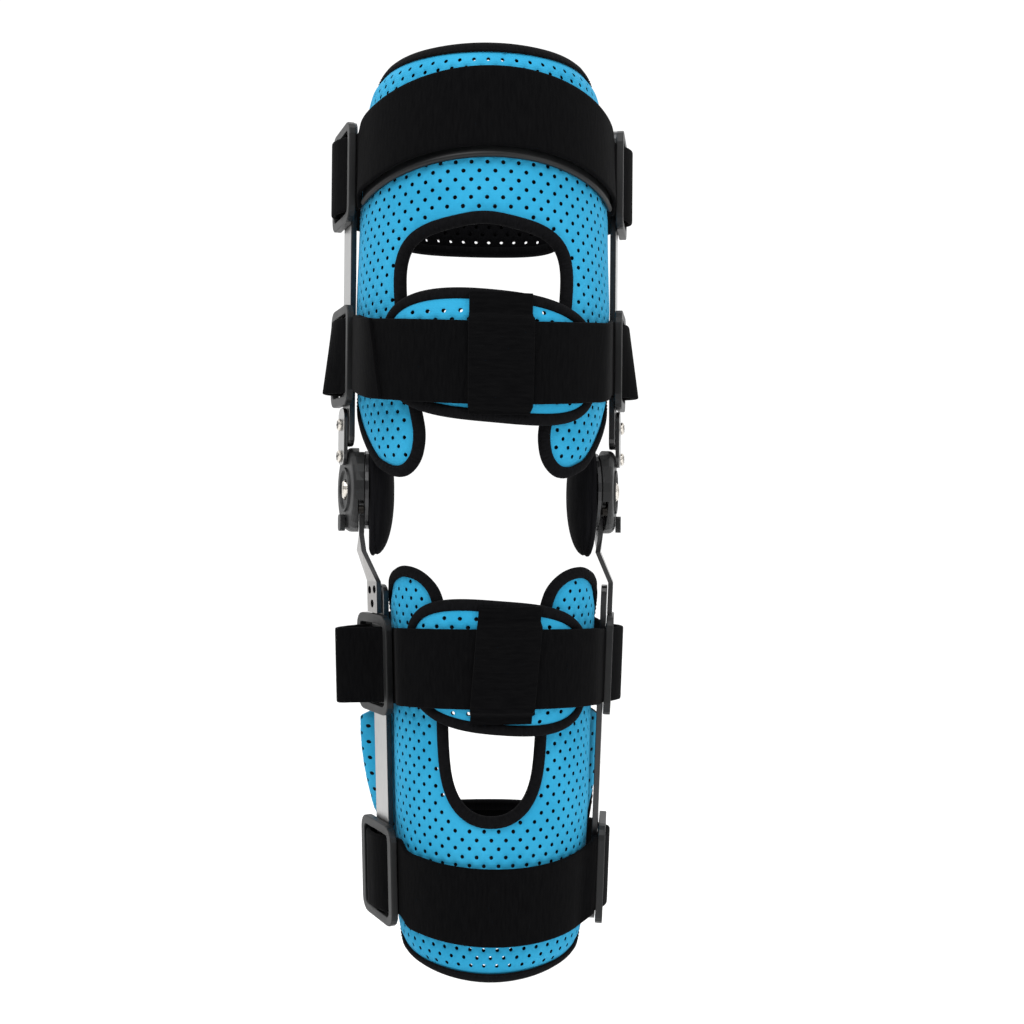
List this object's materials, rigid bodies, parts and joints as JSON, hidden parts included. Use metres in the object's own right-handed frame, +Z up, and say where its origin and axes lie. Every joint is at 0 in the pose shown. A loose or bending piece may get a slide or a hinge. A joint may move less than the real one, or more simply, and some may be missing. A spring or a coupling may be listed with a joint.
{
  "type": "hinged knee brace",
  "caption": "Hinged knee brace with perforated padded thigh and calf wraps, side bars, strap guide rings, strap loops and side hinges that let the calf half bend back.",
  "frame": {"origin": "middle of the knee axis, halfway between the two side hinges", "axes": "+X along the knee axis to the wearer's left, +Y to the back of the knee, +Z up the thigh"},
  "size_m": [0.1634, 0.1366, 0.4507],
  "materials": {
    "knit_blue": "perforated padded knit",
    "binding_black": "stretch binding tape",
    "strap_black": "brushed loop webbing",
    "pad_black": "perforated padded knit, black face",
    "plastic_dark": "moulded satin",
    "bar_black": "semi-gloss black",
    "arm_metal": "anodised grey",
    "screw_steel": "plated"
  },
  "bodies": {
    "thigh": {"thigh_wrap": "knit_blue", "thigh_wrap_binding": "binding_black", "thigh_arch": "plastic_dark", "thigh_upright_right": "bar_black", "thigh_upright_left": "bar_black", "thigh_top_ring_right": "plastic_dark", "thigh_top_ring_left": "plastic_dark", "thigh_low_ring_right": "plastic_dark", "thigh_low_ring_left": "plastic_dark", "thigh_top_strap": "strap_black", "thigh_low_strap": "strap_black", "thigh_front_pad": "knit_blue", "thigh_front_pad_binding": "binding_black", "thigh_pad_keeper": "strap_black", "thigh_back_pad": "pad_black", "hinge_plate_right": "bar_black", "hinge_plate_left": "bar_black", "hinge_screw_upper_right": "screw_steel", "hinge_screw_upper_left": "screw_steel", "hinge_screw_lower_right": "screw_steel", "hinge_screw_lower_left": "screw_steel", "hinge_tab_right": "plastic_dark", "hinge_tab_left": "plastic_dark", "hinge_cover_right": "plastic_dark", "hinge_cover_left": "plastic_dark", "hinge_pivot_right": "screw_steel", "hinge_pivot_left": "screw_steel", "hinge_inner_plate_right": "bar_black", "hinge_inner_plate_left": "bar_black", "hinge_stop_pin_right": "screw_steel", "hinge_stop_pin_left": "screw_steel", "condyle_pad_right": "pad_black", "condyle_pad_left": "pad_black"},
    "calf": {"calf_wrap": "knit_blue", "calf_wrap_binding": "binding_black", "calf_upright_right": "bar_black", "calf_upright_left": "bar_black", "calf_top_ring_right": "plastic_dark", "calf_top_ring_left": "plastic_dark", "calf_low_ring_right": "plastic_dark", "calf_low_ring_left": "plastic_dark", "calf_top_strap": "strap_black", "calf_low_strap": "strap_black", "calf_front_pad": "knit_blue", "calf_front_pad_binding": "binding_black", "calf_pad_keeper": "strap_black", "calf_back_pad": "pad_black", "calf_arm_right": "arm_metal", "calf_arm_left": "arm_metal"}
  },
  "joints": [
    {"name": "knee_hinge", "type": "hinge", "parent": "thigh", "child": "calf", "pos_m": [0, 0, 0], "axis": [1, 0, 0], "range_deg": [0, 100]}
  ]
}
